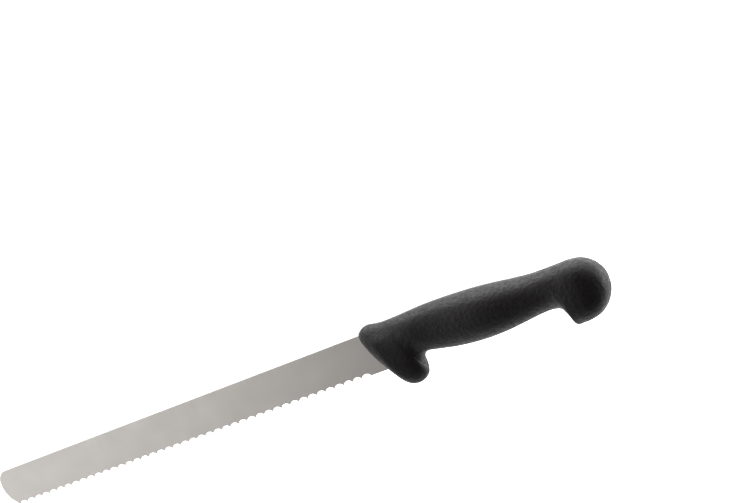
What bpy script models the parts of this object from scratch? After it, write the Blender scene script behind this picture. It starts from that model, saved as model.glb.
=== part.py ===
# Serrated meat knife: a long blade with a blunt tip and a scalloped edge, moulded into a guarded handle.
#
# The knife is drawn from the point where the blade's spine meets the handle: tip towards -X, butt towards +X, spine
# up, cutting edge down, and the plain left face of the blade towards -Y. Depths run back from that point, and rises
# and drops run up and down from it. An empty then carries the whole knife, so that the middle of its bounding box is
# at the world's origin.

import math

import bmesh
import bpy
import numpy as np
from mathutils import Matrix, Vector

MM = 0.001

# Blade
BLADE_LENGTH = 254.0 * MM
HEEL_WIDTH = 21.6 * MM
TIP_WIDTH = 21.7 * MM
SPINE_THICKNESS = 2.0 * MM
EDGE_THICKNESS = 1.2 * MM
TIP_SPINE_RADIUS = 6.0 * MM
TIP_CHIN_RADIUS = 15.0 * MM
TIP_CHIN_DROP = 13.6 * MM

# Scalloped edge, ground from the right face alone
SCALLOP_PITCH = 5.7 * MM
SCALLOP_DEPTH = 1.75 * MM
FIRST_SCALLOP_SETBACK = 7.8 * MM
LAST_SCALLOP_SETBACK = 1.8 * MM
GRIND_ANGLE = math.radians(20)
SCALLOP_STEPS = 8

# Tang, inside the handle
SPINE_SHOULDER_DEPTH = 9.0 * MM
HEEL_SEAT = 2.4 * MM
SHOULDER_FILLET = 1.5 * MM
TANG_SETBACK = 29.0 * MM
TANG_END_RADIUS = 2.5 * MM
TANG_COVER = 2.2 * MM
TANG_END_COVER = 4.0 * MM
KEY_HOLE_DIAMETER = 5.0 * MM
KEY_HOLE_COUNT = 3
KEY_HOLE_SIDES = 20

# Handle: nose and guard
HANDLE_LENGTH = 135.0 * MM
NOSE_DEPTH = 4.75 * MM
NOSE_DROP = 10.0 * MM
NOSE_LEAN = 0.41
CREST_DEPTH = 6.8 * MM
CREST_RISE = 3.7 * MM
BROW_REACH = 6.15 * MM
BROW_HEIGHT = 4.3 * MM
DIP_DEPTH = 14.5 * MM
DIP_LENGTH = 5.5 * MM
DIP_RISE = 2.58 * MM
GUARD_WIDTH = 19.0 * MM
GUARD_DEPTH = 22.35 * MM
GUARD_DROP = 33.4 * MM
GUARD_RADIUS = 7.35 * MM
GUARD_BACK_RISE = 6.0 * MM
CHIN_TURN = -146
THROAT_DEPTH = 33.8 * MM
THROAT_DROP = 19.6 * MM
FLANK_DEPTH = 12.5 * MM
FLANK_DROP = 1.8 * MM
FLANK_LENGTH = 24.0 * MM
FLANK_HEIGHT = 10.0 * MM
FLANK_HOLLOW = 0.55 * MM

# Handle: neck, belly, waist and pommel
NECK_DEPTH = 40.0 * MM
NECK_WIDTH = 18.6 * MM
NECK_RISE = 3.3 * MM
NECK_DROP = 20.7 * MM
PALM_SHARE = 0.2
PALM_DROP = 22.9 * MM
BELLY_SHARE = 0.52
BELLY_WIDTH = 23.4 * MM
BELLY_RISE = 2.0 * MM
BELLY_DROP = 24.2 * MM
WAIST_SETBACK = 36.0 * MM
WAIST_WIDTH = 21.0 * MM
WAIST_RISE = -1.4 * MM
WAIST_DROP = 21.9 * MM
POMMEL_WIDTH = 25.0 * MM
POMMEL_RISE = -1.6 * MM
POMMEL_RADIUS = 15.7 * MM
HOOK_REACH = 5.6 * MM
HOOK_DROP = 33.0 * MM
HOOK_THROAT = 4.2 * MM

# Handle: its core and the fits
GRIP_WALL = 2.5 * MM
CORE_DEPTH = 18.5 * MM
CORE_SETBACK = 15.0 * MM
GAP = 0.3 * MM

# Fineness and section shapes of the mouldings
GRIP_SIDES = 32
RIB_STEPS = 2
CORE_SIDES = 20
CORE_SECTIONS = 14
ARC_STEP = math.radians(12)
EGG = 0.08
TOP_OVAL = 2.1
GUARD_OVAL = 2.5
PALM_OVAL = 2.4
POMMEL_OVAL = 2.8
POMMEL_BLUNTNESS = 0.7
POMMEL_TUCK = 1.12


def clear_scene():
    for thing in list(bpy.data.objects):
        bpy.data.objects.remove(thing, do_unlink=True)


def smooth_line(points):
    # The height over x of a smooth curve through a few points, level beyond its ends.
    xs, zs = (np.array(values) for values in zip(*points))
    slopes = np.gradient(zs, xs)

    def height(x):
        if not xs[0] < x < xs[-1]:
            return float(zs[0] if x <= xs[0] else zs[-1])
        i = int(np.searchsorted(xs, x)) - 1
        span = xs[i + 1] - xs[i]
        t = (x - xs[i]) / span
        from_start = (1 - t) ** 2 * ((1 + 2 * t) * zs[i] + t * span * slopes[i])
        from_end = t ** 2 * ((3 - 2 * t) * zs[i + 1] + (t - 1) * span * slopes[i + 1])
        return float(from_start + from_end)

    return height


def smooth_rows(rows, steps):
    # The rows of numbers, with smooth ones added between them.
    rows = np.array(rows)
    padded = np.vstack((rows[:1], rows, rows[-1:]))
    made = []
    for before, start, end, after in zip(padded, padded[1:], padded[2:], padded[3:]):
        for step in range(steps):
            t = step / steps
            leaving, arriving = (end - before) / 2, (after - start) / 2
            from_start = (1 - t) ** 2 * ((1 + 2 * t) * start + t * leaving)
            from_end = t ** 2 * ((3 - 2 * t) * end + (t - 1) * arriving)
            made.append(from_start + from_end)
    made.append(rows[-1])
    return made


def mix(start, end, share):
    return start + share * (end - start)


# Places along the handle that several pieces share

pommel_depth = HANDLE_LENGTH - POMMEL_RADIUS
pommel_height = POMMEL_RISE - POMMEL_RADIUS
waist_depth = HANDLE_LENGTH - WAIST_SETBACK
palm_depth = mix(NECK_DEPTH, waist_depth, PALM_SHARE)
belly_depth = mix(NECK_DEPTH, waist_depth, BELLY_SHARE)
tang_end_depth = HANDLE_LENGTH - TANG_SETBACK
core_end_depth = HANDLE_LENGTH - CORE_SETBACK
ahead_of_handle = CREST_DEPTH - 2 * BROW_REACH

handle_top = smooth_line(
    [
        (CREST_DEPTH, CREST_RISE),
        (DIP_DEPTH, DIP_RISE),
        (DIP_DEPTH + DIP_LENGTH, DIP_RISE),
        (NECK_DEPTH, NECK_RISE),
        (belly_depth, BELLY_RISE),
        (waist_depth, WAIST_RISE),
        (pommel_depth, POMMEL_RISE),
    ]
)
palm_under = smooth_line(
    [
        (THROAT_DEPTH, -THROAT_DROP),
        (NECK_DEPTH, -NECK_DROP),
        (palm_depth, -PALM_DROP),
        (belly_depth, -BELLY_DROP),
        (waist_depth, -WAIST_DROP),
    ]
)
handle_width = smooth_line(
    [
        (CREST_DEPTH, GUARD_WIDTH),
        (GUARD_DEPTH, GUARD_WIDTH),
        (NECK_DEPTH, NECK_WIDTH),
        (belly_depth, BELLY_WIDTH),
        (waist_depth, WAIST_WIDTH),
        (pommel_depth, POMMEL_WIDTH),
    ]
)


def guard_lobe(degrees):
    # A point of the guard's rounded end, from -90 at its lowest to 0 at its back.
    angle = math.radians(degrees)
    reach = GUARD_BACK_RISE if degrees > -90 else GUARD_RADIUS
    return GUARD_DEPTH + GUARD_RADIUS * math.cos(angle), reach * (1 + math.sin(angle)) - GUARD_DROP


def front_face(drop):
    # The depth of the handle's leaning front face, which runs smoothly into the guard's rounded end.
    chin_depth, chin_height = guard_lobe(CHIN_TURN)
    to_chin = -chin_height - NOSE_DROP
    bulge = (chin_depth - NOSE_DEPTH - NOSE_LEAN * to_chin) / to_chin ** 2
    below = drop - NOSE_DROP
    return NOSE_DEPTH + NOSE_LEAN * below + bulge * below ** 2


def core_top(x):
    return handle_top(x) - GRIP_WALL


def core_under(x):
    return palm_under(x) + GRIP_WALL


def tang_top(x):
    share = (x - CORE_DEPTH) / (tang_end_depth - CORE_DEPTH)
    return mix(core_top(CORE_DEPTH) - TANG_COVER, core_top(tang_end_depth) - TANG_END_COVER, share)


def tang_under(x):
    share = (x - CORE_DEPTH) / (tang_end_depth - CORE_DEPTH)
    return mix(core_under(CORE_DEPTH) + TANG_COVER, core_under(tang_end_depth) + TANG_END_COVER, share)


def edge_height(x):
    return -HEEL_WIDTH - (HEEL_WIDTH - TIP_WIDTH) * x / BLADE_LENGTH


def blade_taper():
    return (SPINE_THICKNESS - EDGE_THICKNESS) / 2 / HEEL_WIDTH


def half_thickness(z):
    return SPINE_THICKNESS / 2 + blade_taper() * z


def fillet_limit(side, reach, next_reach):
    # The share of their radii that keeps the fillets at both ends of a side clear of each other.
    return min(1.0, 0.98 * side.length / max(reach + next_reach, 1e-9))


def rounded_outline(corners, grow=0.0):
    # Corners are (x, z, radius), clockwise with X to the right and Z up. Growing moves every side outwards.
    places = [Vector(corner[:2]) for corner in corners]
    sides = [after - here for here, after in zip(places, places[1:] + places[:1])]
    turns = [arriving.angle(leaving) for arriving, leaving in zip(sides[-1:] + sides[:-1], sides)]
    reaches = [corner[2] * math.tan(turn / 2) for corner, turn in zip(corners, turns)]
    limits = [fillet_limit(*side) for side in zip(sides, reaches, reaches[1:] + reaches[:1])]
    points = []
    for i, (place, turn) in enumerate(zip(places, turns)):
        arriving, leaving = sides[i - 1].normalized(), sides[i].normalized()
        outwards = Vector((-arriving.y - leaving.y, arriving.x + leaving.x)) / (1 + arriving.dot(leaving))
        corner = place + grow * outwards
        inner = arriving.cross(leaving) > 0
        fillet = corners[i][2] * min(limits[i - 1], limits[i])
        radius = fillet + (-grow if inner else grow)
        if fillet == 0 or radius <= 0:
            points.append(tuple(corner))
            continue
        aside = Vector((-arriving.y, arriving.x)) * (1 if inner else -1)
        start = corner - arriving * radius * math.tan(turn / 2)
        steps = max(2, round(turn / ARC_STEP))
        for step in range(steps + 1):
            angle = turn * step / steps
            points.append(tuple(start + radius * (math.sin(angle) * arriving + (1 - math.cos(angle)) * aside)))
    return points


def bridge(builder, first, second):
    for i in range(len(first)):
        j = (i + 1) % len(first)
        builder.faces.new((first[i], first[j], second[j], second[i]))


def loft(builder, rings):
    # A ring of one point is a pole. Any other ring at an end is closed with a flat cap.
    made = [[builder.verts.new(point) for point in ring] for ring in rings]
    for first, second in zip(made, made[1:]):
        if len(first) == len(second):
            bridge(builder, first, second)
            continue
        pole, ring = sorted((first, second), key=len)
        for i in range(len(ring)):
            builder.faces.new((pole[0], ring[i], ring[(i + 1) % len(ring)]))
    for end in (made[0], made[-1]):
        if len(end) > 1:
            builder.faces.new(end)


def oval(top, under, half_width, crown, fullness, egg, sides):
    # A section across the handle from a top point to an under point. Crown and fullness say how square its upper and
    # lower halves are, and egg how much wider it is towards the top.
    middle_x, middle_z = (top[0] + under[0]) / 2, (top[1] + under[1]) / 2
    ring = []
    for i in range(sides):
        angle = 2 * math.pi * i / sides
        power = 2 / (crown if math.cos(angle) > 0 else fullness)
        along = math.copysign(abs(math.cos(angle)) ** power, math.cos(angle))
        across = math.copysign(abs(math.sin(angle)) ** power, math.sin(angle))
        x = middle_x + along * (top[0] - middle_x)
        z = middle_z + along * (top[1] - middle_z)
        ring.append((x, across * half_width * (1 + egg * along), z))
    return ring


def tail_corners():
    # The blade's rear end, from its spine round the tang and back to its edge.
    heel_end = front_face(HEEL_WIDTH) + HEEL_SEAT
    return [
        (SPINE_SHOULDER_DEPTH, 0.0, SHOULDER_FILLET / 2),
        (SPINE_SHOULDER_DEPTH, tang_top(SPINE_SHOULDER_DEPTH), SHOULDER_FILLET),
        (tang_end_depth, tang_top(tang_end_depth), TANG_END_RADIUS),
        (tang_end_depth, tang_under(tang_end_depth), TANG_END_RADIUS),
        (heel_end, tang_under(heel_end), SHOULDER_FILLET),
        (heel_end, edge_height(heel_end), SHOULDER_FILLET / 2),
    ]


def blade_mesh(builder):
    start, end = FIRST_SCALLOP_SETBACK - BLADE_LENGTH, -LAST_SCALLOP_SETBACK
    count = max(1, round((end - start) / SCALLOP_PITCH))
    pitch = (end - start) / count
    radius = ((pitch / 2) ** 2 + SCALLOP_DEPTH ** 2) / (2 * SCALLOP_DEPTH)

    def vertex(x, z, side):
        return builder.verts.new((x, side * half_thickness(z), z))

    # A column of the blade for each scallop: the left face ends at the scallop, and the right face at the top of the
    # slanting flute that the grinding wheel leaves behind it.
    spine = {side: [vertex(start + i * pitch, 0.0, side) for i in range(count + 1)] for side in (-1, 1)}
    edge = {-1: [], 1: []}
    for k in range(count * SCALLOP_STEPS + 1):
        x = start + k * pitch / SCALLOP_STEPS
        from_middle = (k % SCALLOP_STEPS / SCALLOP_STEPS - 0.5) * pitch
        z = edge_height(x) + math.sqrt(radius ** 2 - from_middle ** 2) - (radius - SCALLOP_DEPTH)
        flute_height = 2 * half_thickness(z) / (math.tan(GRIND_ANGLE) - blade_taper())
        edge[-1].append(vertex(x, z, -1))
        edge[1].append(vertex(x, z + flute_height, 1))
    for i in range(count):
        scallop = slice(i * SCALLOP_STEPS, (i + 1) * SCALLOP_STEPS + 1)
        for side in (-1, 1):
            builder.faces.new([spine[side][i + 1], spine[side][i], *edge[side][scallop]])
        builder.faces.new((spine[-1][i], spine[1][i], spine[1][i + 1], spine[-1][i + 1]))
    for k in range(count * SCALLOP_STEPS):
        builder.faces.new((edge[-1][k], edge[-1][k + 1], edge[1][k + 1], edge[1][k]))

    # The tip and the tail have their full thickness, so each meets the flutes at a small step.
    tip_corners = [
        (start, edge_height(start), 0.0),
        (-BLADE_LENGTH, -TIP_CHIN_DROP, TIP_CHIN_RADIUS),
        (-BLADE_LENGTH, 0.0, TIP_SPINE_RADIUS),
        (start, 0.0, 0.0),
    ]
    tip = {side: [vertex(x, z, side) for x, z in rounded_outline(tip_corners)[1:-1]] for side in (-1, 1)}
    tip_step = vertex(start, edge_height(start), 1)
    close_end(
        builder,
        [edge[-1][0], *tip[-1], spine[-1][0]],
        [tip_step, *tip[1], spine[1][0]],
        (edge[-1][0], edge[1][0], tip_step),
    )
    tail_outline = rounded_outline([(end, 0.0, 0.0), *tail_corners(), (end, edge_height(end), 0.0)])[1:-1]
    tail = {side: [vertex(x, z, side) for x, z in tail_outline] for side in (-1, 1)}
    tail_step = vertex(end, edge_height(end), 1)
    close_end(
        builder,
        [spine[-1][-1], *tail[-1], edge[-1][-1]],
        [spine[1][-1], *tail[1], tail_step],
        (edge[-1][-1], edge[1][-1], tail_step),
    )


def close_end(builder, left, right, step):
    # An end of the blade beyond the scallops: its two faces, its rim and the step down from the flutes.
    builder.faces.new(left)
    builder.faces.new([*right, step[1]])
    for k in range(len(left) - 1):
        builder.faces.new((left[k], left[k + 1], right[k + 1], right[k]))
    builder.faces.new(step)


def blade_pocket_mesh(builder):
    # The blade's rear end with the gap all round it, run straight out through the front of the handle.
    mouth = [(ahead_of_handle, edge_height(ahead_of_handle), 0.0), (ahead_of_handle, 0.0, 0.0)]
    outline = rounded_outline([*mouth, *tail_corners()], GAP)
    rims = [[builder.verts.new((x, side * (half_thickness(z) + GAP), z)) for x, z in outline] for side in (-1, 1)]
    bridge(builder, *rims)
    for rim in rims:
        builder.faces.new(rim)


def key_bars_mesh(builder, diameter):
    # Round bars through the tang, one at each key hole.
    for i in range(KEY_HOLE_COUNT):
        x = mix(CORE_DEPTH, tang_end_depth, (i + 0.5) / KEY_HOLE_COUNT)
        place = Matrix.Translation((x, 0.0, (tang_top(x) + tang_under(x)) / 2))
        bmesh.ops.create_cone(
            builder,
            cap_ends=True,
            segments=KEY_HOLE_SIDES,
            radius1=diameter / 2,
            radius2=diameter / 2,
            depth=4 * SPINE_THICKNESS,
            matrix=place @ Matrix.Rotation(math.pi / 2, 4, "X"),
        )


def core_mesh(builder, grow=0.0):
    rings = []
    for i in range(CORE_SECTIONS):
        x = mix(CORE_DEPTH - grow, core_end_depth + grow, i / (CORE_SECTIONS - 1))
        top, under = (x, core_top(x) + grow), (x, core_under(x) - grow)
        half_width = handle_width(x) / 2 - GRIP_WALL + grow
        rings.append(oval(top, under, half_width, TOP_OVAL, PALM_OVAL, EGG, CORE_SIDES))
    loft(builder, rings)


def nose_ribs():
    # Ribs spread from a pole on the leaning front face up to the crest and down to the guard.
    def front(drop):
        return front_face(drop), -drop

    def brow(degrees):
        angle = math.radians(degrees)
        return CREST_DEPTH - BROW_REACH * math.cos(angle), CREST_RISE - BROW_HEIGHT * (1 - math.sin(angle))

    chin_drop = -guard_lobe(CHIN_TURN)[1]
    ribs = [(*front(NOSE_DROP), *front(NOSE_DROP), 0.0, TOP_OVAL, GUARD_OVAL, EGG)]
    for top, drop_share, width_share in (
        (front(mix(NOSE_DROP, BROW_HEIGHT - CREST_RISE, 0.5)), 0.18, 0.34),
        (brow(10), 0.36, 0.60),
        (brow(35), 0.56, 0.79),
        (brow(62), 0.78, 0.92),
        (brow(90), 1.0, 1.0),
    ):
        under = front(mix(NOSE_DROP, chin_drop, drop_share))
        ribs.append((*top, *under, width_share * GUARD_WIDTH / 2, TOP_OVAL, GUARD_OVAL, EGG))
    return ribs


def guard_ribs():
    # Ribs go round the guard's lobe and up its throat to the neck, while their tops move from the crest to the neck.
    back = guard_lobe(22)
    corner = mix(back[0], THROAT_DEPTH, 0.27), mix(back[1], -THROAT_DROP, 0.72)
    ribs = []
    for top_share, under, width_share, fullness, egg in (
        (0.08, guard_lobe(-120), 1.0, 2.5, 0.08),
        (0.165, guard_lobe(-90), 0.98, 2.5, 0.10),
        (0.245, guard_lobe(-60), 0.96, 2.5, 0.13),
        (0.32, guard_lobe(-30), 0.94, 2.4, 0.17),
        (0.395, guard_lobe(0), 0.92, 2.2, 0.20),
        (0.47, back, 0.93, 2.2, 0.18),
        (0.56, corner, 0.96, 2.2, 0.13),
        (0.72, (THROAT_DEPTH, -THROAT_DROP), 1.0, 2.3, 0.08),
    ):
        x = mix(CREST_DEPTH, NECK_DEPTH, top_share)
        ribs.append((x, handle_top(x), *under, width_share * handle_width(x) / 2, TOP_OVAL, fullness, egg))
    return ribs


def palm_ribs():
    ribs = []
    for i in range(7):
        x = mix(NECK_DEPTH, waist_depth, i / 6)
        ribs.append((x, handle_top(x), x, palm_under(x), handle_width(x) / 2, TOP_OVAL, PALM_OVAL, EGG))
    return ribs


def hook_ribs():
    # Ribs run down the front of the hook and round its lip to the bottom of the pommel.
    lip_depth = pommel_depth - HOOK_REACH
    ribs = []
    for top_share, throats_ahead, drop_share in (
        (0.14, 1.86, 0.02),
        (0.32, 0.86, 0.19),
        (0.47, 0.44, 0.48),
        (0.60, 0.14, 0.82),
        (0.72, 0.0, 1.0),
    ):
        x = mix(waist_depth, pommel_depth, top_share)
        under = lip_depth - throats_ahead * HOOK_THROAT, -mix(WAIST_DROP, HOOK_DROP, drop_share)
        middle = (x + under[0]) / 2
        share = (middle - waist_depth) / (pommel_depth - waist_depth)
        crown, fullness = (mix(squareness, POMMEL_OVAL, share) for squareness in (TOP_OVAL, PALM_OVAL))
        ribs.append((x, handle_top(x), *under, handle_width(middle) / 2, crown, fullness, EGG))
    x = mix(waist_depth, pommel_depth, 0.86)
    under = mix(lip_depth, pommel_depth, 0.5), mix(-HOOK_DROP, pommel_height - POMMEL_RADIUS, 0.75)
    ribs.append((x, handle_top(x), *under, handle_width(x) / 2, POMMEL_OVAL, POMMEL_OVAL, EGG))
    return ribs


def pommel_ribs():
    ribs = []
    for degrees in (90, 70, 52, 35, 18, 0):
        x = pommel_depth + POMMEL_RADIUS * math.cos(math.radians(degrees))
        share = math.sin(math.radians(degrees))
        top, under = pommel_height + POMMEL_RADIUS * share, pommel_height - POMMEL_RADIUS * share ** POMMEL_TUCK
        half_width = POMMEL_WIDTH / 2 * share ** POMMEL_BLUNTNESS
        ribs.append((x, top, x, under, half_width, POMMEL_OVAL, POMMEL_OVAL, EGG))
    return ribs


def press_flank_hollows(builder):
    # A shallow groove in each side of the handle, along its top behind the nose.
    for vertex in builder.verts:
        along = (vertex.co.x - FLANK_DEPTH) / (FLANK_LENGTH / 2)
        upwards = (vertex.co.z + FLANK_DROP) / (FLANK_HEIGHT / 2)
        away = along ** 2 + upwards ** 2
        if away < 1 and abs(vertex.co.y) > FLANK_HOLLOW:
            vertex.co.y -= math.copysign(FLANK_HOLLOW * (1 - away) ** 2, vertex.co.y)


def grip_mesh(builder):
    # Each rib is (top x, top z, under x, under z, half width, crown, fullness, egg).
    ribs = nose_ribs() + guard_ribs() + palm_ribs() + hook_ribs() + pommel_ribs()
    rings = []
    for top_x, top_z, under_x, under_z, half_width, crown, fullness, egg in smooth_rows(ribs, RIB_STEPS):
        if half_width == 0:
            rings.append([(top_x, 0.0, top_z)])
        else:
            top, under = (top_x, top_z), (under_x, under_z)
            rings.append(oval(top, under, half_width, crown, fullness, egg, GRIP_SIDES))
    loft(builder, rings)
    press_flank_hollows(builder)


def make_material(name, colour, roughness, metallic=0.0):
    made = bpy.data.materials.new(name)
    made.use_nodes = True
    shader = made.node_tree.nodes["Principled BSDF"]
    shader.inputs["Base Color"].default_value = (*colour, 1.0)
    shader.inputs["Roughness"].default_value = roughness
    shader.inputs["Metallic"].default_value = metallic
    return made


def make_piece(name, parent, surface, fill, *values):
    builder = bmesh.new()
    fill(builder, *values)
    bmesh.ops.recalc_face_normals(builder, faces=builder.faces)
    mesh = bpy.data.meshes.new(name)
    builder.to_mesh(mesh)
    builder.free()
    mesh.shade_smooth()
    mesh.set_sharp_from_angle(angle=math.radians(40))
    piece = bpy.data.objects.new(name, mesh)
    piece.parent = parent
    bpy.context.scene.collection.objects.link(piece)
    if surface:
        mesh.materials.append(surface)
    else:
        piece.hide_render = True
        piece.display_type = "WIRE"
    return piece


def cut(piece, *cutters):
    for cutter in cutters:
        boolean = piece.modifiers.new("less " + cutter.name, "BOOLEAN")
        boolean.operation = "DIFFERENCE"
        boolean.solver = "EXACT"
        boolean.object = cutter


def build_knife():
    steel = make_material("stainless steel", (0.60, 0.59, 0.57), 0.35, 1.0)
    core_plastic = make_material("dark grey plastic", (0.06, 0.06, 0.065), 0.5)
    grip_plastic = make_material("black textured plastic", (0.012, 0.012, 0.013), 0.55)

    lowest = -max(GUARD_DROP, POMMEL_RADIUS - pommel_height)
    knife = bpy.data.objects.new("knife", None)
    knife.location = ((BLADE_LENGTH - HANDLE_LENGTH) / 2, 0.0, -(CREST_RISE + lowest) / 2)
    bpy.context.scene.collection.objects.link(knife)

    key_holes = make_piece("key hole cutter", knife, None, key_bars_mesh, KEY_HOLE_DIAMETER)
    keys = make_piece("keys left in the pocket", knife, None, key_bars_mesh, KEY_HOLE_DIAMETER - 2 * GAP)
    blade_pocket = make_piece("blade pocket cutter", knife, None, blade_pocket_mesh)
    core_cavity = make_piece("core cavity cutter", knife, None, core_mesh, GAP)
    cut(blade_pocket, keys)

    blade = make_piece("blade", knife, steel, blade_mesh)
    blade.data.set_sharp_from_angle(angle=GRIND_ANGLE * 0.75)
    cut(blade, key_holes)
    cut(make_piece("handle_core", knife, core_plastic, core_mesh), blade_pocket)
    cut(make_piece("handle_grip", knife, grip_plastic, grip_mesh), core_cavity, blade_pocket)


clear_scene()
build_knife()
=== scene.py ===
import bmesh
import bpy
import math
from mathutils import Matrix, Vector


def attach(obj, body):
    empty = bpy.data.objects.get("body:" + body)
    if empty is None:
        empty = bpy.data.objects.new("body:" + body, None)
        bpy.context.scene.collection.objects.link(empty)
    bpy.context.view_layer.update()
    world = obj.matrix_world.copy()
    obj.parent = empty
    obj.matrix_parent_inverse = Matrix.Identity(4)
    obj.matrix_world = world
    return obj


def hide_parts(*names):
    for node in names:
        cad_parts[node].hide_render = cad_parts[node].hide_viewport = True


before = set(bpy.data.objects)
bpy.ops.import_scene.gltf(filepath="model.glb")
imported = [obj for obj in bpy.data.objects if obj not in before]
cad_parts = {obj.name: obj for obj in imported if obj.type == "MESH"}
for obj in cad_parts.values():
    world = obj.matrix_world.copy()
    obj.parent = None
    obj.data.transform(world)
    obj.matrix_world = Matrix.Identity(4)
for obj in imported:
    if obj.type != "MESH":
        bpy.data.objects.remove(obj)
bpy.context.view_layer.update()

# The knife is drawn in millimetres from the point where its spine meets the handle: tip towards -X, butt
# towards +X, spine up, plain left face towards -Y. The matrix puts a finished mesh where the frame has it.
meetingPoint = (0.0595, 0.0, 0.01485)  # metres
intoFrame = Matrix.Translation(meetingPoint) @ Matrix.Scale(0.001, 4)


def mix(start, end, share):
    return start + share * (end - start)


def smoothLine(points):
    # height over x of a smooth curve through a few points, level beyond its ends
    xs = [point[0] for point in points]
    zs = [point[1] for point in points]
    slopes = []
    for i in range(len(xs)):
        if i == 0 or i == len(xs) - 1:
            a, b = (0, 1) if i == 0 else (i - 1, i)
            slopes.append((zs[b] - zs[a]) / (xs[b] - xs[a]))
        else:
            before, after = xs[i] - xs[i - 1], xs[i + 1] - xs[i]
            rise = before ** 2 * zs[i + 1] + (after ** 2 - before ** 2) * zs[i] - after ** 2 * zs[i - 1]
            slopes.append(rise / (before * after * (before + after)))

    def height(x):
        if x <= xs[0]:
            return zs[0]
        if x >= xs[-1]:
            return zs[-1]
        i = max(k for k in range(len(xs) - 1) if xs[k] < x)
        span = xs[i + 1] - xs[i]
        t = (x - xs[i]) / span
        return (
            (1 - t) ** 2 * ((1 + 2 * t) * zs[i] + t * span * slopes[i])
            + t ** 2 * ((3 - 2 * t) * zs[i + 1] + (t - 1) * span * slopes[i + 1])
        )

    return height


def smoothRows(rows, steps):
    # the rows of numbers, with smooth ones added between them
    rows = [Vector(row) for row in rows]
    padded = rows[:1] + rows + rows[-1:]
    made = []
    for before, start, end, after in zip(padded, padded[1:], padded[2:], padded[3:]):
        leaving, arriving = (end - before) / 2, (after - start) / 2
        for step in range(steps):
            t = step / steps
            made.append(
                (1 - t) ** 2 * ((1 + 2 * t) * start + t * leaving)
                + t ** 2 * ((3 - 2 * t) * end + (t - 1) * arriving)
            )
    return made + rows[-1:]


def drawTo(sheet, pen, x, z):
    # straight run of an outline
    made = bmesh.ops.extrude_vert_indiv(sheet, verts=[pen])["verts"][0]
    made.co = (x, 0.0, z)
    return made


def drawArc(sheet, pen, centre, turn, steps):
    # curved run of an outline, clockwise where the turn is positive
    swept = bmesh.ops.spin(sheet, geom=[pen], cent=centre, axis=(0, 1, 0), angle=turn, steps=steps)
    return swept["geom_last"][0]


def drawCorner(sheet, pen, corner, following, radius, steps=8):
    # straight run to a corner, rounded as it turns towards the next one
    corner, following = Vector((corner[0], 0.0, corner[1])), Vector((following[0], 0.0, following[1]))
    arriving, leaving = (corner - pen.co).normalized(), (following - corner).normalized()
    turn = arriving.angle(leaving)
    hand = 1.0 if arriving.cross(leaving).y > 0 else -1.0
    arcStart = corner - arriving * radius * math.tan(turn / 2)
    pen = drawTo(sheet, pen, arcStart.x, arcStart.z)
    centre = arcStart + Vector((0.0, hand, 0.0)).cross(arriving) * radius
    return drawArc(sheet, pen, centre, hand * turn, steps)


def drawCorners(sheet, pen, corners, following):
    # each corner has its x, its z and its rounding
    targets = [corner[:2] for corner in corners[1:]] + [following]
    for (x, z, radius), target in zip(corners, targets):
        pen = drawCorner(sheet, pen, (x, z), target, radius)
    return pen


def closeSheet(sheet, samePlace=0.002):
    bmesh.ops.remove_doubles(sheet, verts=sheet.verts, dist=samePlace)
    bmesh.ops.contextual_create(sheet, geom=sheet.edges[:])


def thicken(sheet):
    # second side of a flat sheet, still in the same place
    made = bmesh.ops.extrude_face_region(sheet, geom=sheet.faces[:])["geom"]
    return [part for part in made if isinstance(part, bmesh.types.BMVert)]


def addRing(shape, sides, top, under, halfWidth, crown, fullness, egg):
    # one section across the handle, from a top point to an under point: crown and fullness say how square its
    # upper and lower halves are, and egg how much wider it is towards the top
    ring = bmesh.ops.create_circle(shape, cap_ends=False, radius=1.0, segments=sides)["verts"]
    middle = Vector(((top[0] + under[0]) / 2, 0.0, (top[1] + under[1]) / 2))
    reach = Vector((top[0], 0.0, top[1])) - middle
    for vert in ring:
        along, across = vert.co.y, vert.co.x
        power = 2 / (crown if along > 0 else fullness)
        along = math.copysign(abs(along) ** power, along)
        across = math.copysign(abs(across) ** power, across)
        vert.co = middle + reach * along
        vert.co.y = across * halfWidth * (1 + egg * along)
    return list({edge for vert in ring for edge in vert.link_edges})


def joinRings(shape, rings):
    for first, second in zip(rings, rings[1:]):
        bmesh.ops.bridge_loops(shape, edges=first + second)


def makeObject(name, shape):
    mesh = bpy.data.meshes.new(name)
    shape.to_mesh(mesh)
    shape.free()
    made = bpy.data.objects.new(name, mesh)
    bpy.context.scene.collection.objects.link(made)
    return made


def makePiece(name, shape):
    # a closed shape, in millimetres until it is placed
    bmesh.ops.recalc_face_normals(shape, faces=shape.faces)
    return makeObject(name, shape)


def carve(piece, cutters):
    # booleans are applied, so that the piece keeps no cutter
    for cutter in cutters:
        less = piece.modifiers.new("less " + cutter.name, "BOOLEAN")
        less.operation, less.solver, less.object = "DIFFERENCE", "EXACT", cutter
    bpy.context.view_layer.update()
    carved = piece.evaluated_get(bpy.context.evaluated_depsgraph_get())
    mesh = bpy.data.meshes.new_from_object(carved)
    piece.modifiers.clear()
    piece.data = mesh
    mesh.name = piece.name
    for cutter in cutters:
        bpy.data.objects.remove(cutter, do_unlink=True)


def placePiece(piece, material, sharpAngle, node):
    piece.data.transform(intoFrame)
    piece.data.shade_smooth()
    piece.data.set_sharp_from_angle(angle=sharpAngle)
    piece.data.materials.clear()
    piece.data.materials.append(material)
    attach(piece, "root")
    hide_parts(node)
    print(piece.name, "has", len(piece.data.vertices), "vertices")


def startMaterial(name, metallic=0.0, specular=0.5):
    # the new material, its shader and the coordinates that its patterns follow
    material = bpy.data.materials.new(name)
    material.use_nodes = True
    shader = material.node_tree.nodes["Principled BSDF"]
    shader.inputs["Metallic"].default_value = metallic
    shader.inputs["Specular IOR Level"].default_value = specular
    coords = material.node_tree.nodes.new("ShaderNodeTexCoord")
    return material, shader, coords.outputs["Object"]


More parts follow.
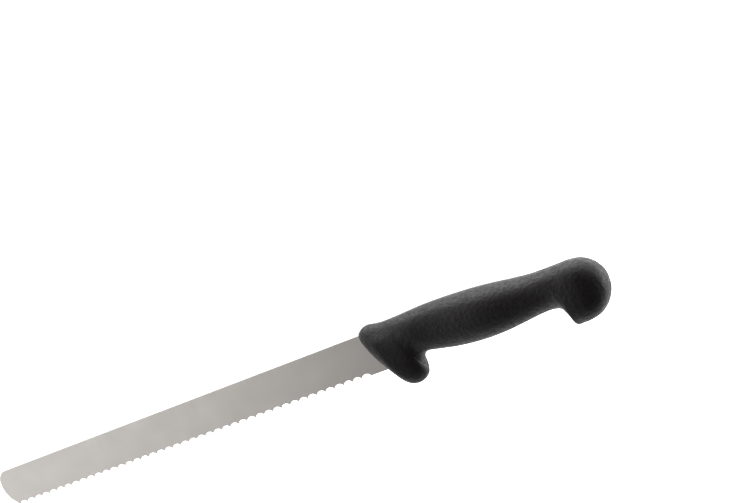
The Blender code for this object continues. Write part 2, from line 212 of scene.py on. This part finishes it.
def addNoise(tree, coords, scale, detail=2.0, roughness=0.5):
    # scale is how many features fit in a metre, along each axis
    mapping = tree.nodes.new("ShaderNodeMapping")
    mapping.inputs["Scale"].default_value = scale
    noise = tree.nodes.new("ShaderNodeTexNoise")
    noise.inputs["Scale"].default_value = 1.0
    noise.inputs["Detail"].default_value = detail
    noise.inputs["Roughness"].default_value = roughness
    tree.links.new(coords, mapping.inputs["Vector"])
    tree.links.new(mapping.outputs["Vector"], noise.inputs["Vector"])
    return noise.outputs["Fac"]


def addRange(tree, value, low, high, inLow=0.3, inHigh=0.7):
    node = tree.nodes.new("ShaderNodeMapRange")
    node.inputs["From Min"].default_value = inLow
    node.inputs["From Max"].default_value = inHigh
    node.inputs["To Min"].default_value = low
    node.inputs["To Max"].default_value = high
    tree.links.new(value, node.inputs["Value"])
    return node.outputs["Result"]


def addMath(tree, operation, *values):
    node = tree.nodes.new("ShaderNodeMath")
    node.operation = operation
    for socket, value in zip(node.inputs, values):
        if isinstance(value, (int, float)):
            socket.default_value = value
        else:
            tree.links.new(value, socket)
    return node.outputs["Value"]


def addBlend(tree, share, colourA, colourB):
    node = tree.nodes.new("ShaderNodeMix")
    node.data_type = "RGBA"
    colours = [socket for socket in node.inputs if socket.type == "RGBA"]
    colours[0].default_value = (*colourA, 1.0)
    colours[1].default_value = (*colourB, 1.0)
    tree.links.new(share, node.inputs["Factor"])
    return [socket for socket in node.outputs if socket.type == "RGBA"][0]


def addBump(tree, shader, height, strength, distance):
    bump = tree.nodes.new("ShaderNodeBump")
    bump.inputs["Strength"].default_value = strength
    bump.inputs["Distance"].default_value = distance
    tree.links.new(height, bump.inputs["Height"])
    tree.links.new(bump.outputs["Normal"], shader.inputs["Normal"])


steelValues = dict(
    bright=(0.695, 0.663, 0.630),
    dull=(0.630, 0.600, 0.568),
    roughLow=0.30,
    roughHigh=0.42,
    lines=(2600.0, 40.0, 45.0),  # ground across the blade
    lineDetail=3.0,
    lineRoughness=0.6,
    lineShare=0.6,
    patches=(60.0, 60.0, 90.0),
    patchShare=0.4,
    bumpStrength=0.5,
    bumpDepth=0.000006,
)


def makeSteel():
    values = steelValues
    material, shader, coords = startMaterial("satin blade steel", metallic=1.0)
    tree = material.node_tree
    lines = addNoise(tree, coords, values["lines"], values["lineDetail"], values["lineRoughness"])
    patches = addNoise(tree, coords, values["patches"])
    lineWear = addMath(tree, "MULTIPLY", lines, values["lineShare"])
    worn = addMath(tree, "MULTIPLY_ADD", patches, values["patchShare"], lineWear)
    tree.links.new(addBlend(tree, worn, values["dull"], values["bright"]), shader.inputs["Base Color"])
    tree.links.new(addRange(tree, worn, values["roughHigh"], values["roughLow"]), shader.inputs["Roughness"])
    addBump(tree, shader, lines, values["bumpStrength"], values["bumpDepth"])
    return material


gripPlasticValues = dict(
    dark=(0.0070, 0.0050, 0.0052),
    light=(0.0130, 0.0100, 0.0104),
    specular=0.4,
    roughLow=0.36,
    roughHigh=0.60,
    sparks=(1500.0, 1500.0, 1500.0),  # the mould's eroded texture
    sparkRoughness=0.6,
    mottle=(520.0, 520.0, 520.0),
    mottleHeight=2.4,  # next to the sparks' height of 1
    partingHeight=1.2,
    partingHalfWidth=0.00010,
    bumpStrength=0.6,
    bumpDepth=0.0002,
)


def makeGripPlastic():
    values = gripPlasticValues
    material, shader, coords = startMaterial("black textured grip plastic", specular=values["specular"])
    tree = material.node_tree
    sparks = addNoise(tree, coords, values["sparks"], roughness=values["sparkRoughness"])
    mottle = addNoise(tree, coords, values["mottle"])
    tree.links.new(addBlend(tree, mottle, values["dark"], values["light"]), shader.inputs["Base Color"])
    roughness = addRange(tree, mottle, values["roughHigh"], values["roughLow"])
    tree.links.new(roughness, shader.inputs["Roughness"])
    axes = tree.nodes.new("ShaderNodeSeparateXYZ")
    tree.links.new(coords, axes.inputs["Vector"])
    fromParting = addMath(tree, "ABSOLUTE", axes.outputs["Y"])
    line = addRange(tree, fromParting, values["partingHeight"], 0.0, 0.0, values["partingHalfWidth"])
    grain = addMath(tree, "MULTIPLY_ADD", mottle, values["mottleHeight"], sparks)
    addBump(tree, shader, addMath(tree, "ADD", grain, line), values["bumpStrength"], values["bumpDepth"])
    return material


corePlasticValues = dict(
    dark=(0.05, 0.05, 0.055),
    light=(0.07, 0.07, 0.075),
    roughLow=0.45,
    roughHigh=0.60,
    flow=(35.0, 120.0, 120.0),  # streaks along the way the plastic flowed
    flowDetail=3.0,
    bumpStrength=0.4,
    bumpDepth=0.00002,
)


def makeCorePlastic():
    values = corePlasticValues
    material, shader, coords = startMaterial("dark core plastic")
    tree = material.node_tree
    flow = addNoise(tree, coords, values["flow"], values["flowDetail"])
    tree.links.new(addBlend(tree, flow, values["dark"], values["light"]), shader.inputs["Base Color"])
    tree.links.new(addRange(tree, flow, values["roughLow"], values["roughHigh"]), shader.inputs["Roughness"])
    addBump(tree, shader, flow, values["bumpStrength"], values["bumpDepth"])
    return material


bladeValues = dict(
    length=254.0,
    heelWidth=21.6,
    tipWidth=21.7,
    spineThickness=2.0,
    edgeThickness=1.2,
    tipCornerDrop=13.6,
    tipUnderRounding=15.0,
    tipTopRounding=6.0,
    shoulderDepth=9.0,  # the spine ends this far inside the handle
    shoulderDrop=1.5,
    shoulderRoundings=(0.5, 1.0),
    heelDepth=12.98,
    heelRoundings=(1.5, 0.75),
    tangEnd=106.0,
    tangEndTop=-8.11,
    tangEndUnder=-15.4,
    tangUnder=-14.87,
    tangRounding=2.5,
    scallops=43,
    firstScallop=-246.2,
    lastScallop=-1.8,
    scallopDepth=1.75,
    scallopSteps=14,
    fluteMargin=0.02,  # plain edge beside the first and the last scallop
    fluteReach=0.005,
    sharpReach=0.03,
    grindAngle=math.radians(20),
    cutSlack=0.001,
    keyHoles=[(33.08, -9.06), (62.25, -10.14), (91.42, -11.22)],
    keyHoleRadius=2.5,
    keyHoleSides=40,
    keyHoleCut=8.0,
    rimBevel=0.12,
    rimSteps=3,
    rimAngle=math.radians(60),
    shortestRim=0.05,
    sharpAngle=math.radians(12),  # keeps the flat faces from shading into the broken corners
)


def edgeHeight(x):
    # line along the points of the scallops
    heel, tip = bladeValues["heelWidth"], bladeValues["tipWidth"]
    return -heel - (heel - tip) * x / bladeValues["length"]


def edgePoint(x):
    return Vector((x, 0.0, edgeHeight(x)))


def bladeTaper():
    return (bladeValues["spineThickness"] - bladeValues["edgeThickness"]) / 2 / bladeValues["heelWidth"]


def halfThickness(z):
    return bladeValues["spineThickness"] / 2 + bladeTaper() * z


def setApart(sheet, right, gap=0.0):
    # the two sides, as far apart as the blade is thick at that height
    for vert in sheet.verts:
        vert.co.y = -halfThickness(vert.co.z) - gap
    for vert in right:
        vert.co.y = -vert.co.y


def tipCorners():
    values = bladeValues
    return [
        (-values["length"], -values["tipCornerDrop"], values["tipUnderRounding"]),
        (-values["length"], 0.0, values["tipTopRounding"]),
    ]


def tailCorners():
    # from the rear end of the spine round the tang to the heel
    values = bladeValues
    shoulderTop, shoulderUnder = values["shoulderRoundings"]
    heelTop, heelUnder = values["heelRoundings"]
    return [
        (values["shoulderDepth"], 0.0, shoulderTop),
        (values["shoulderDepth"], -values["shoulderDrop"], shoulderUnder),
        (values["tangEnd"], values["tangEndTop"], values["tangRounding"]),
        (values["tangEnd"], values["tangEndUnder"], values["tangRounding"]),
        (values["heelDepth"], values["tangUnder"], heelTop),
        (values["heelDepth"], -values["heelWidth"], heelUnder),
    ]


def scallopPitch():
    return (bladeValues["lastScallop"] - bladeValues["firstScallop"]) / bladeValues["scallops"]


def drawBlade(sheet):
    # clockwise from the front of the scallops: tip, spine, tang, heel and back along the scallops
    start, end = bladeValues["firstScallop"], bladeValues["lastScallop"]
    front, rear = start - bladeValues["fluteMargin"], end + bladeValues["fluteMargin"]
    pitch, depth = scallopPitch(), bladeValues["scallopDepth"]
    radius = ((pitch / 2) ** 2 + depth ** 2) / (2 * depth)
    pen = sheet.verts.new((front, 0.0, edgeHeight(start)))
    pen = drawCorners(sheet, pen, tipCorners(), tailCorners()[0][:2])
    pen = drawCorners(sheet, pen, tailCorners(), (rear, edgeHeight(end)))
    pen = drawTo(sheet, pen, rear, edgeHeight(end))
    pen = drawTo(sheet, pen, end, edgeHeight(end))
    for i in range(bladeValues["scallops"]):
        here, there = edgePoint(end - i * pitch), edgePoint(end - (i + 1) * pitch)
        chord = there - here
        inwards = Vector((chord.z, 0.0, -chord.x)).normalized()
        centre = (here + there) / 2 - inwards * (radius - depth)
        turn = 2 * math.asin(chord.length / 2 / radius)
        pen = drawArc(sheet, pen, centre, -turn, bladeValues["scallopSteps"])
    drawTo(sheet, pen, front, edgeHeight(start))
    closeSheet(sheet)


def cutColumns(sheet):
    # lines up from the points of the scallops, so that the flutes between them stay apart
    for i in range(bladeValues["scallops"] + 1):
        bmesh.ops.bisect_plane(
            sheet,
            geom=sheet.verts[:] + sheet.edges[:] + sheet.faces[:],
            dist=bladeValues["cutSlack"],
            plane_co=(bladeValues["firstScallop"] + i * scallopPitch(), 0.0, 0.0),
            plane_no=(1.0, 0.0, 0.0),
        )


def raiseFlutes(right):
    # the right face starts higher, at the top of the slanting flute that grinding leaves in each scallop
    reach, middleHeight = bladeValues["fluteReach"], -bladeValues["tipWidth"] / 2
    start, end = bladeValues["firstScallop"] - reach, bladeValues["lastScallop"] + reach
    for vert in right:
        if start < vert.co.x < end and vert.co.z < middleHeight:
            flute = 2 * halfThickness(vert.co.z) / (math.tan(bladeValues["grindAngle"]) - bladeTaper())
            vert.co.z += flute


def findRims(sheet):
    # the edges round the spine, tip and heel; the scallops stay sharp
    reach, middleHeight = bladeValues["sharpReach"], -bladeValues["tipWidth"] / 2
    start, end = bladeValues["firstScallop"] - reach, bladeValues["lastScallop"] + reach
    rims = []
    for edge in sheet.edges:
        middle = (edge.verts[0].co + edge.verts[1].co) / 2
        scalloped = start < middle.x < end and middle.z < middleHeight
        oneSided = edge.verts[0].co.y * edge.verts[1].co.y > 0
        long = edge.calc_length() > bladeValues["shortestRim"]
        if oneSided and long and not scalloped and middle.x < bladeValues["shoulderDepth"]:
            if edge.calc_face_angle(0.0) > bladeValues["rimAngle"]:
                rims.append(edge)
    return rims


def makeKeyHoles():
    holes = bmesh.new()
    for x, z in bladeValues["keyHoles"]:
        bmesh.ops.create_cone(
            holes,
            cap_ends=True,
            segments=bladeValues["keyHoleSides"],
            radius1=bladeValues["keyHoleRadius"],
            radius2=bladeValues["keyHoleRadius"],
            depth=bladeValues["keyHoleCut"],
            matrix=Matrix.Translation((x, 0.0, z)) @ Matrix.Rotation(math.pi / 2, 4, "X"),
        )
    return makePiece("keyHoles", holes)


def makeBlade(steel):
    sheet = bmesh.new()
    drawBlade(sheet)
    cutColumns(sheet)
    right = thicken(sheet)
    raiseFlutes(right)
    setApart(sheet, right)
    bmesh.ops.recalc_face_normals(sheet, faces=sheet.faces)
    bmesh.ops.bevel(
        sheet,
        geom=findRims(sheet),
        offset=bladeValues["rimBevel"],
        segments=bladeValues["rimSteps"],
        profile=0.5,
        affect="EDGES",
        material=-1,
    )
    blade = makePiece("bladeSteel", sheet)
    carve(blade, [makeKeyHoles()])
    placePiece(blade, steel, bladeValues["sharpAngle"], "blade")


# In the handle, a depth is how far a point lies behind the one where spine and handle meet, a rise how far it
# is above the spine, and a drop how far below. An oval says how square a section is, and 2 is an ellipse.
handle = dict(
    noseDepth=4.75,
    noseDrop=10.0,
    noseLean=0.41,
    crestDepth=6.8,
    crestRise=3.7,
    browReach=6.15,
    browHeight=4.3,
    dipDepth=14.5,
    dipLength=5.5,
    dipRise=2.58,
    guardWidth=19.0,
    guardDepth=22.35,
    guardDrop=33.4,
    guardRadius=7.35,
    guardBackRise=6.0,
    chinTurn=-146,
    lobeEndTurn=22,
    throatDepth=33.8,
    throatDrop=19.6,
    throatCorner=(0.27, 0.72),  # shares of the way from the lobe's end to the throat
    neckDepth=40.0,
    neckWidth=18.6,
    neckRise=3.3,
    neckDrop=20.7,
    palmDepth=51.8,
    palmDrop=22.9,
    palmSections=7,
    bellyDepth=70.68,
    bellyWidth=23.4,
    bellyRise=2.0,
    bellyDrop=24.2,
    waistDepth=99.0,
    waistWidth=21.0,
    waistRise=-1.4,
    waistDrop=21.9,
    pommelDepth=119.3,
    pommelWidth=25.0,
    pommelRise=-1.6,
    pommelRadius=15.7,
    hookReach=5.6,
    hookDrop=33.0,
    hookThroat=4.2,
    topOval=2.1,
    guardOval=2.5,
    palmOval=2.4,
    pommelOval=2.8,
    pommelBluntness=0.7,
    pommelTuck=1.12,
    egg=0.08,
    gripWall=2.5,
    coreStart=18.5,
    coreEnd=120.0,
    coreGap=0.3,
    coreRings=40,
    coreSides=64,
    bladeGap=0.06,
    sides=96,
    ringSteps=5,
    poleSize=0.0005,
    softReach=(101.0, 122.0),
    softInset=1.0,
    softPasses=40,
    softFactor=0.5,
    flankHollow=dict(x=12.5, z=-1.8, reachX=12.0, reachZ=5.0, depth=0.55),
    sharpAngle=math.radians(40),
)

handleTop = smoothLine(
    [
        (handle["crestDepth"], handle["crestRise"]),
        (handle["dipDepth"], handle["dipRise"]),
        (handle["dipDepth"] + handle["dipLength"], handle["dipRise"]),
        (handle["neckDepth"], handle["neckRise"]),
        (handle["bellyDepth"], handle["bellyRise"]),
        (handle["waistDepth"], handle["waistRise"]),
        (handle["pommelDepth"], handle["pommelRise"]),
    ]
)
palmUnder = smoothLine(
    [
        (handle["throatDepth"], -handle["throatDrop"]),
        (handle["neckDepth"], -handle["neckDrop"]),
        (handle["palmDepth"], -handle["palmDrop"]),
        (handle["bellyDepth"], -handle["bellyDrop"]),
        (handle["waistDepth"], -handle["waistDrop"]),
    ]
)
handleWidth = smoothLine(
    [
        (handle["crestDepth"], handle["guardWidth"]),
        (handle["guardDepth"], handle["guardWidth"]),
        (handle["neckDepth"], handle["neckWidth"]),
        (handle["bellyDepth"], handle["bellyWidth"]),
        (handle["waistDepth"], handle["waistWidth"]),
        (handle["pommelDepth"], handle["pommelWidth"]),
    ]
)


def guardLobe(degrees):
    # point of the guard's rounded end, from -90 at its lowest to 0 at its back
    angle = math.radians(degrees)
    reach = handle["guardBackRise"] if degrees > -90 else handle["guardRadius"]
    x = handle["guardDepth"] + handle["guardRadius"] * math.cos(angle)
    return x, reach * (1 + math.sin(angle)) - handle["guardDrop"]


def frontFace(drop):
    # point of the leaning front face, which runs smoothly into the guard's rounded end
    chinDepth, chinHeight = guardLobe(handle["chinTurn"])
    toChin = -chinHeight - handle["noseDrop"]
    bulge = (chinDepth - handle["noseDepth"] - handle["noseLean"] * toChin) / toChin ** 2
    below = drop - handle["noseDrop"]
    return handle["noseDepth"] + handle["noseLean"] * below + bulge * below ** 2, -drop


def brow(degrees):
    # point of the round between the front face and the crest, where 90 is the crest
    angle = math.radians(degrees)
    x = handle["crestDepth"] - handle["browReach"] * math.cos(angle)
    return x, handle["crestRise"] - handle["browHeight"] * (1 - math.sin(angle))


# A rib has a top point, an under point, half its width, the ovals of its upper and lower halves, and its egg.


def noseRibs():
    # ribs spread from a pole on the front face up to the crest and down to the guard
    ovals = handle["topOval"], handle["guardOval"], handle["egg"]
    chinDrop = -guardLobe(handle["chinTurn"])[1]
    pole = frontFace(handle["noseDrop"])
    ribs = [(*pole, *pole, 0.0, *ovals)]
    browDrop = handle["browHeight"] - handle["crestRise"]
    for top, dropShare, widthShare in (
        (frontFace(mix(handle["noseDrop"], browDrop, 0.5)), 0.18, 0.34),
        (brow(10), 0.36, 0.60),
        (brow(35), 0.56, 0.79),
        (brow(62), 0.78, 0.92),
        (brow(90), 1.0, 1.0),
    ):
        under = frontFace(mix(handle["noseDrop"], chinDrop, dropShare))
        ribs.append((*top, *under, widthShare * handle["guardWidth"] / 2, *ovals))
    return ribs


def guardRibs():
    # ribs go round the guard's lobe and up its throat, while their tops move from the crest to the neck
    back = guardLobe(handle["lobeEndTurn"])
    backShare, upShare = handle["throatCorner"]
    corner = mix(back[0], handle["throatDepth"], backShare), mix(back[1], -handle["throatDrop"], upShare)
    ribs = []
    for topShare, under, widthShare, fullness, egg in (
        (0.08, guardLobe(-120), 1.0, 2.5, 0.08),
        (0.165, guardLobe(-90), 0.98, 2.5, 0.10),
        (0.245, guardLobe(-60), 0.96, 2.5, 0.13),
        (0.32, guardLobe(-30), 0.94, 2.4, 0.17),
        (0.395, guardLobe(0), 0.92, 2.2, 0.20),
        (0.47, back, 0.93, 2.2, 0.18),
        (0.56, corner, 0.96, 2.2, 0.13),
        (0.72, (handle["throatDepth"], -handle["throatDrop"]), 1.0, 2.3, 0.08),
    ):
        x = mix(handle["crestDepth"], handle["neckDepth"], topShare)
        halfWidth = widthShare * handleWidth(x) / 2
        ribs.append((x, handleTop(x), *under, halfWidth, handle["topOval"], fullness, egg))
    return ribs


def palmRibs():
    # upright ribs from the neck over the belly to the waist
    ovals = handle["topOval"], handle["palmOval"], handle["egg"]
    ribs = []
    for i in range(handle["palmSections"]):
        x = mix(handle["neckDepth"], handle["waistDepth"], i / (handle["palmSections"] - 1))
        ribs.append((x, handleTop(x), x, palmUnder(x), handleWidth(x) / 2, *ovals))
    return ribs


def hookRibs():
    # ribs run down the front of the hook and round its lip to the bottom of the pommel
    lipDepth = handle["pommelDepth"] - handle["hookReach"]
    pommelBottom = handle["pommelRise"] - 2 * handle["pommelRadius"]
    ribs = []
    for topShare, throatsAhead, dropShare in (
        (0.14, 1.86, 0.02),
        (0.32, 0.86, 0.19),
        (0.47, 0.44, 0.48),
        (0.60, 0.14, 0.82),
        (0.72, 0.0, 1.0),
    ):
        x = mix(handle["waistDepth"], handle["pommelDepth"], topShare)
        drop = mix(handle["waistDrop"], handle["hookDrop"], dropShare)
        under = lipDepth - throatsAhead * handle["hookThroat"], -drop
        middle = (x + under[0]) / 2
        share = (middle - handle["waistDepth"]) / (handle["pommelDepth"] - handle["waistDepth"])
        crown, fullness = (mix(handle[oval], handle["pommelOval"], share) for oval in ("topOval", "palmOval"))
        ribs.append((x, handleTop(x), *under, handleWidth(middle) / 2, crown, fullness, handle["egg"]))
    # the last one lies halfway from the lip to the pommel's middle
    x = mix(handle["waistDepth"], handle["pommelDepth"], 0.86)
    under = mix(lipDepth, handle["pommelDepth"], 0.5), mix(-handle["hookDrop"], pommelBottom, 0.75)
    ovals = handle["pommelOval"], handle["pommelOval"], handle["egg"]
    ribs.append((x, handleTop(x), *under, handleWidth(x) / 2, *ovals))
    return ribs


def pommelRibs():
    # ribs go round the butt, from the middle of the pommel to a pole at its end
    radius = handle["pommelRadius"]
    middle = handle["pommelRise"] - radius
    ovals = handle["pommelOval"], handle["pommelOval"], handle["egg"]
    ribs = []
    for degrees in (90, 70, 52, 35, 18, 0):
        share = math.sin(math.radians(degrees))
        x = handle["pommelDepth"] + radius * math.cos(math.radians(degrees))
        top, under = middle + radius * share, middle - radius * share ** handle["pommelTuck"]
        halfWidth = handle["pommelWidth"] / 2 * share ** handle["pommelBluntness"]
        ribs.append((x, top, x, under, halfWidth, *ovals))
    return ribs


def pressFlankHollows(shape):
    # a shallow groove in each side, along the top behind the nose
    hollow = handle["flankHollow"]
    for vert in shape.verts:
        alongShare = (vert.co.x - hollow["x"]) / hollow["reachX"]
        upShare = (vert.co.z - hollow["z"]) / hollow["reachZ"]
        away = alongShare ** 2 + upShare ** 2
        if away < 1.0 and abs(vert.co.y) > hollow["depth"]:
            vert.co.y -= math.copysign(hollow["depth"] * (1 - away) ** 2, vert.co.y)


def softenHook(shape):
    # evens out the flanks where the ribs fan out over the hook, and leaves their outline alone
    start, end = handle["softReach"]
    inset = handle["softInset"]
    flanks = [vert for vert in shape.verts if start < vert.co.x < end and abs(vert.co.y) > inset]
    for _ in range(handle["softPasses"]):
        bmesh.ops.smooth_vert(
            shape,
            verts=flanks,
            factor=handle["softFactor"],
            use_axis_x=False,
            use_axis_y=True,
            use_axis_z=False,
        )


def makeCoreCutter():
    # the grip's cavity, which keeps the core's gap all round it
    shape = bmesh.new()
    rings = []
    grow = handle["coreGap"]
    ovals = handle["topOval"], handle["palmOval"], handle["egg"]
    for i in range(handle["coreRings"]):
        x = mix(handle["coreStart"] - grow, handle["coreEnd"] + grow, i / (handle["coreRings"] - 1))
        top = x, handleTop(x) - handle["gripWall"] + grow
        under = x, palmUnder(x) + handle["gripWall"] - grow
        halfWidth = handleWidth(x) / 2 - handle["gripWall"] + grow
        rings.append(addRing(shape, handle["coreSides"], top, under, halfWidth, *ovals))
    joinRings(shape, rings)
    bmesh.ops.holes_fill(shape, edges=shape.edges[:], sides=0)
    return makePiece("coreCutter", shape)


def makeBladeCutter():
    # the blade's rear end, fattened by its clearance and run straight out through the front of the handle
    ahead = handle["crestDepth"] - 2 * handle["browReach"]
    sheet = bmesh.new()
    pen = sheet.verts.new((ahead, 0.0, edgeHeight(ahead)))
    pen = drawTo(sheet, pen, ahead, 0.0)
    pen = drawCorners(sheet, pen, tailCorners(), (ahead, edgeHeight(ahead)))
    drawTo(sheet, pen, ahead, edgeHeight(ahead))
    closeSheet(sheet)
    setApart(sheet, thicken(sheet), handle["bladeGap"])
    bmesh.ops.recalc_face_normals(sheet, faces=sheet.faces)
    sheet.normal_update()
    shifts = [(vert, Vector((vert.normal.x, 0.0, vert.normal.z)).normalized()) for vert in sheet.verts]
    for vert, outwards in shifts:  # all normals are taken before the first point moves
        vert.co += outwards * handle["bladeGap"]
    return makePiece("bladeCutter", sheet)


def makeGrip(plastic):
    shape = bmesh.new()
    ribs = noseRibs() + guardRibs() + palmRibs() + hookRibs() + pommelRibs()
    rings = []
    for topX, topZ, underX, underZ, *section in smoothRows(ribs, handle["ringSteps"]):
        rings.append(addRing(shape, handle["sides"], (topX, topZ), (underX, underZ), *section))
    joinRings(shape, rings)
    bmesh.ops.remove_doubles(shape, verts=shape.verts, dist=handle["poleSize"])
    pressFlankHollows(shape)
    softenHook(shape)
    grip = makePiece("handleGrip", shape)
    carve(grip, [makeCoreCutter(), makeBladeCutter()])
    placePiece(grip, plastic, handle["sharpAngle"], "handle_grip")


studioValues = dict(
    cameraPlace=(0.4078, -0.6949, 0.05275),
    cameraTurn=math.radians(25.0),
    cameraRoll=math.radians(22.238),
    cameraReach=(0.01, 20.0),
    lens=73.1,
    sensor=36.0,
    floorHeight=-0.32,
    floorSize=6.0,
    floorRoughness=0.9,
    floorGlow=(0.05, 1.25),
    floorShade=(-0.3, 0.1),
    floorSlant=-0.5,
    worldGlow=(0.05, 1.3),
    worldShade=(-0.4, 0.5),
)


def makeCamera():
    data = bpy.data.cameras.new("camera")
    data.lens = studioValues["lens"]
    data.sensor_width = studioValues["sensor"]
    data.sensor_fit = "HORIZONTAL"
    data.clip_start, data.clip_end = studioValues["cameraReach"]
    camera = bpy.data.objects.new("camera", data)
    bpy.context.scene.collection.objects.link(camera)
    level = Matrix.Rotation(studioValues["cameraTurn"], 4, "Z") @ Matrix.Rotation(math.pi / 2, 4, "X")
    rolled = level @ Matrix.Rotation(-studioValues["cameraRoll"], 4, "Z")
    camera.matrix_world = Matrix.Translation(studioValues["cameraPlace"]) @ rolled
    bpy.context.scene.camera = camera


def makeFloor():
    shape = bmesh.new()
    bmesh.ops.create_grid(shape, x_segments=2, y_segments=2, size=studioValues["floorSize"])
    bmesh.ops.translate(shape, verts=shape.verts, vec=(0.0, 0.0, studioValues["floorHeight"]))
    floor = makeObject("floor", shape)
    # white where the camera sees it, and elsewhere a glowing sheet of painted light, brighter behind and to
    # the left, with painted shade to the front and the right
    material, shader, coords = startMaterial("pale floor")
    tree = material.node_tree
    shader.inputs["Roughness"].default_value = studioValues["floorRoughness"]
    shader.inputs["Emission Color"].default_value = (1.0, 1.0, 1.0, 1.0)
    axes = tree.nodes.new("ShaderNodeSeparateXYZ")
    tree.links.new(coords, axes.inputs["Vector"])
    # painted light: the floor's own glow fades from behind and the left into painted shade at the front and
    # the right
    away = addMath(tree, "MULTIPLY_ADD", axes.outputs["X"], studioValues["floorSlant"], axes.outputs["Y"])
    paintedGlow = addRange(tree, away, *studioValues["floorGlow"], *studioValues["floorShade"])
    seen = tree.nodes.new("ShaderNodeLightPath").outputs["Is Camera Ray"]
    tree.links.new(seen, shader.inputs["Base Color"])
    tree.links.new(addMath(tree, "MAXIMUM", paintedGlow, seen), shader.inputs["Emission Strength"])
    floor.data.materials.append(material)


def makeWorld():
    # white where the camera sees it, and elsewhere brighter behind and above than in front
    world = bpy.data.worlds.new("studio")
    bpy.context.scene.world = world
    world.use_nodes = True
    tree = world.node_tree
    background = tree.nodes["Background"]
    background.inputs["Color"].default_value = (1.0, 1.0, 1.0, 1.0)
    coords = tree.nodes.new("ShaderNodeTexCoord")
    axes = tree.nodes.new("ShaderNodeSeparateXYZ")
    tree.links.new(coords.outputs["Generated"], axes.inputs["Vector"])
    behind = addMath(tree, "ADD", axes.outputs["Y"], axes.outputs["Z"])
    around = addRange(tree, behind, *studioValues["worldGlow"], *studioValues["worldShade"])
    paths = tree.nodes.new("ShaderNodeLightPath")
    seen = addMath(tree, "MAXIMUM", around, paths.outputs["Is Camera Ray"])
    tree.links.new(seen, background.inputs["Strength"])


lightValues = [
    dict(name="softbox", place=(-0.95, -0.76, 0.15), aim=(-0.1, 0.0, 0.0), size=(1.2, 1.2), radiance=0.895),
    dict(name="back", place=(-0.1, 1.3, 0.4), aim=(0.0, 0.0, 0.0), size=(1.8, 1.3), radiance=0.6),
    dict(name="top", place=(0.0, 0.1, 1.1), aim=(0.1, 0.0, 0.0), size=(1.4, 0.7), radiance=3.2),
    dict(name="butt", place=(1.2, 0.45, -0.1), aim=(0.15, 0.0, 0.0), size=(0.6, 0.8), radiance=3.0),
]


def makeLights():
    for values in lightValues:
        data = bpy.data.lights.new(values["name"], "AREA")
        data.shape = "RECTANGLE"
        data.size, data.size_y = width, height = values["size"]
        data.energy = values["radiance"] * math.pi * width * height
        light = bpy.data.objects.new(values["name"], data)
        bpy.context.scene.collection.objects.link(light)
        place, aim = Vector(values["place"]), Vector(values["aim"])
        turn = (aim - place).to_track_quat("-Z", "Y").to_matrix().to_4x4()
        light.matrix_world = Matrix.Translation(place) @ turn
        light.visible_camera = False


print("studio")
makeCamera()
makeWorld()
makeFloor()
makeLights()
bpy.context.scene.view_settings.view_transform = "Standard"

print("materials")
steel = makeSteel()
gripPlastic = makeGripPlastic()
corePlastic = makeCorePlastic()

print("blade")
makeBlade(steel)
print("handle")
makeGrip(gripPlastic)
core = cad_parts["handle_core"]
for materialSlot in core.material_slots:
    materialSlot.material = corePlastic
